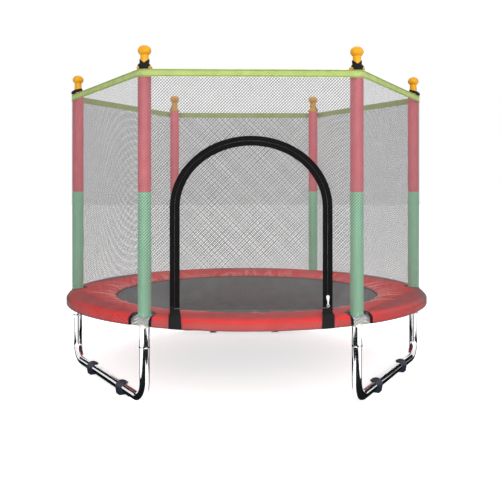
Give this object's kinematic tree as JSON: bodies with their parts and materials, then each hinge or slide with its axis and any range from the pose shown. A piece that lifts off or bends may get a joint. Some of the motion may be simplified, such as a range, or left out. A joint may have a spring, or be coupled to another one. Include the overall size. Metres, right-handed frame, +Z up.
{
  "type": "trampoline",
  "caption": "Small round trampoline on three looped tube legs, with padded posts, a ball-topped net enclosure and an arched zip doorway.",
  "frame": {"origin": "on the floor, under the middle of the jumping mat", "axes": "+Z up; the doorway faces -Y; the side posts are on +X and -X"},
  "size_m": [1.4086, 1.4, 1.1488],
  "materials": {
    "chromed_tube": "polished",
    "post_steel": "galvanised",
    "green_foam": "smooth vinyl over foam",
    "red_foam": "smooth vinyl over foam",
    "amber_plastic": "glossy, slightly translucent",
    "spring_steel": "galvanised",
    "clip_plastic": "fine satin",
    "pad_vinyl": "coated woven cover",
    "mat_weave": "woven polypropylene",
    "band_webbing": "woven tape",
    "net_cord": "knitted mesh",
    "zip_tape": "woven tape",
    "zip_metal": "moulded"
  },
  "bodies": {
    "frame": {"ring_section_right": "chromed_tube", "post_tube_right": "post_steel", "lower_sleeve_right": "green_foam", "upper_sleeve_right": "red_foam", "post_cap_right": "amber_plastic", "ring_section_back_right": "chromed_tube", "post_tube_back_right": "post_steel", "lower_sleeve_back_right": "green_foam", "upper_sleeve_back_right": "red_foam", "post_cap_back_right": "amber_plastic", "ring_section_back_left": "chromed_tube", "post_tube_back_left": "post_steel", "lower_sleeve_back_left": "green_foam", "upper_sleeve_back_left": "red_foam", "post_cap_back_left": "amber_plastic", "ring_section_left": "chromed_tube", "post_tube_left": "post_steel", "lower_sleeve_left": "green_foam", "upper_sleeve_left": "red_foam", "post_cap_left": "amber_plastic", "ring_section_front_left": "chromed_tube", "post_tube_front_left": "post_steel", "lower_sleeve_front_left": "green_foam", "upper_sleeve_front_left": "red_foam", "post_cap_front_left": "amber_plastic", "ring_section_front_right": "chromed_tube", "post_tube_front_right": "post_steel", "lower_sleeve_front_right": "green_foam", "upper_sleeve_front_right": "red_foam", "post_cap_front_right": "amber_plastic", "spring_bank_1": "spring_steel", "spring_bank_2": "spring_steel", "spring_bank_3": "spring_steel", "spring_bank_4": "spring_steel", "spring_bank_5": "spring_steel", "spring_bank_6": "spring_steel", "leg_left": "chromed_tube", "foot_clip_left_1": "clip_plastic", "foot_clip_left_2": "clip_plastic", "leg_right": "chromed_tube", "foot_clip_right_1": "clip_plastic", "foot_clip_right_2": "clip_plastic", "leg_back": "chromed_tube", "foot_clip_back_1": "clip_plastic", "foot_clip_back_2": "clip_plastic", "spring_pad": "pad_vinyl", "net_top_band": "band_webbing", "net_panel_front": "net_cord", "net_panel_front_right": "net_cord", "net_panel_back_right": "net_cord", "net_panel_back": "net_cord", "net_panel_back_left": "net_cord", "net_panel_front_left": "net_cord", "zip_tape_outer": "zip_tape"},
    "mat": {"jumping_mat": "mat_weave"},
    "door": {"door_flap": "net_cord", "zip_tape_inner": "zip_tape"},
    "zip_slider": {"zip_slider": "zip_metal"},
    "zip_pull": {"zip_pull": "zip_metal"}
  },
  "joints": [
    {"name": "mat_bounce", "type": "slide", "parent": "frame", "child": "mat", "axis": [0, 0, 1], "range_m": [-0.12, 0], "stiffness_N_per_m": 3300, "springref_m": 0.012, "deforming": ["spring_bank_1", "spring_bank_2", "spring_bank_3", "spring_bank_4", "spring_bank_5", "spring_bank_6"]},
    {"name": "door_open", "type": "hinge", "parent": "frame", "child": "door", "pos_m": [0, -0.6086, 0.3195], "axis": [1, 0, 0], "range_deg": [0, 75]},
    {"name": "zip_slide", "type": "slide", "parent": "door", "child": "zip_slider", "axis": [0, 0, 1], "range_m": [0, 0.28]},
    {"name": "zip_pull_flip", "type": "hinge", "parent": "zip_slider", "child": "zip_pull", "pos_m": [0.2405, -0.61947, 0.3496], "axis": [-1, 0, 0], "range_deg": [0, 150]}
  ]
}
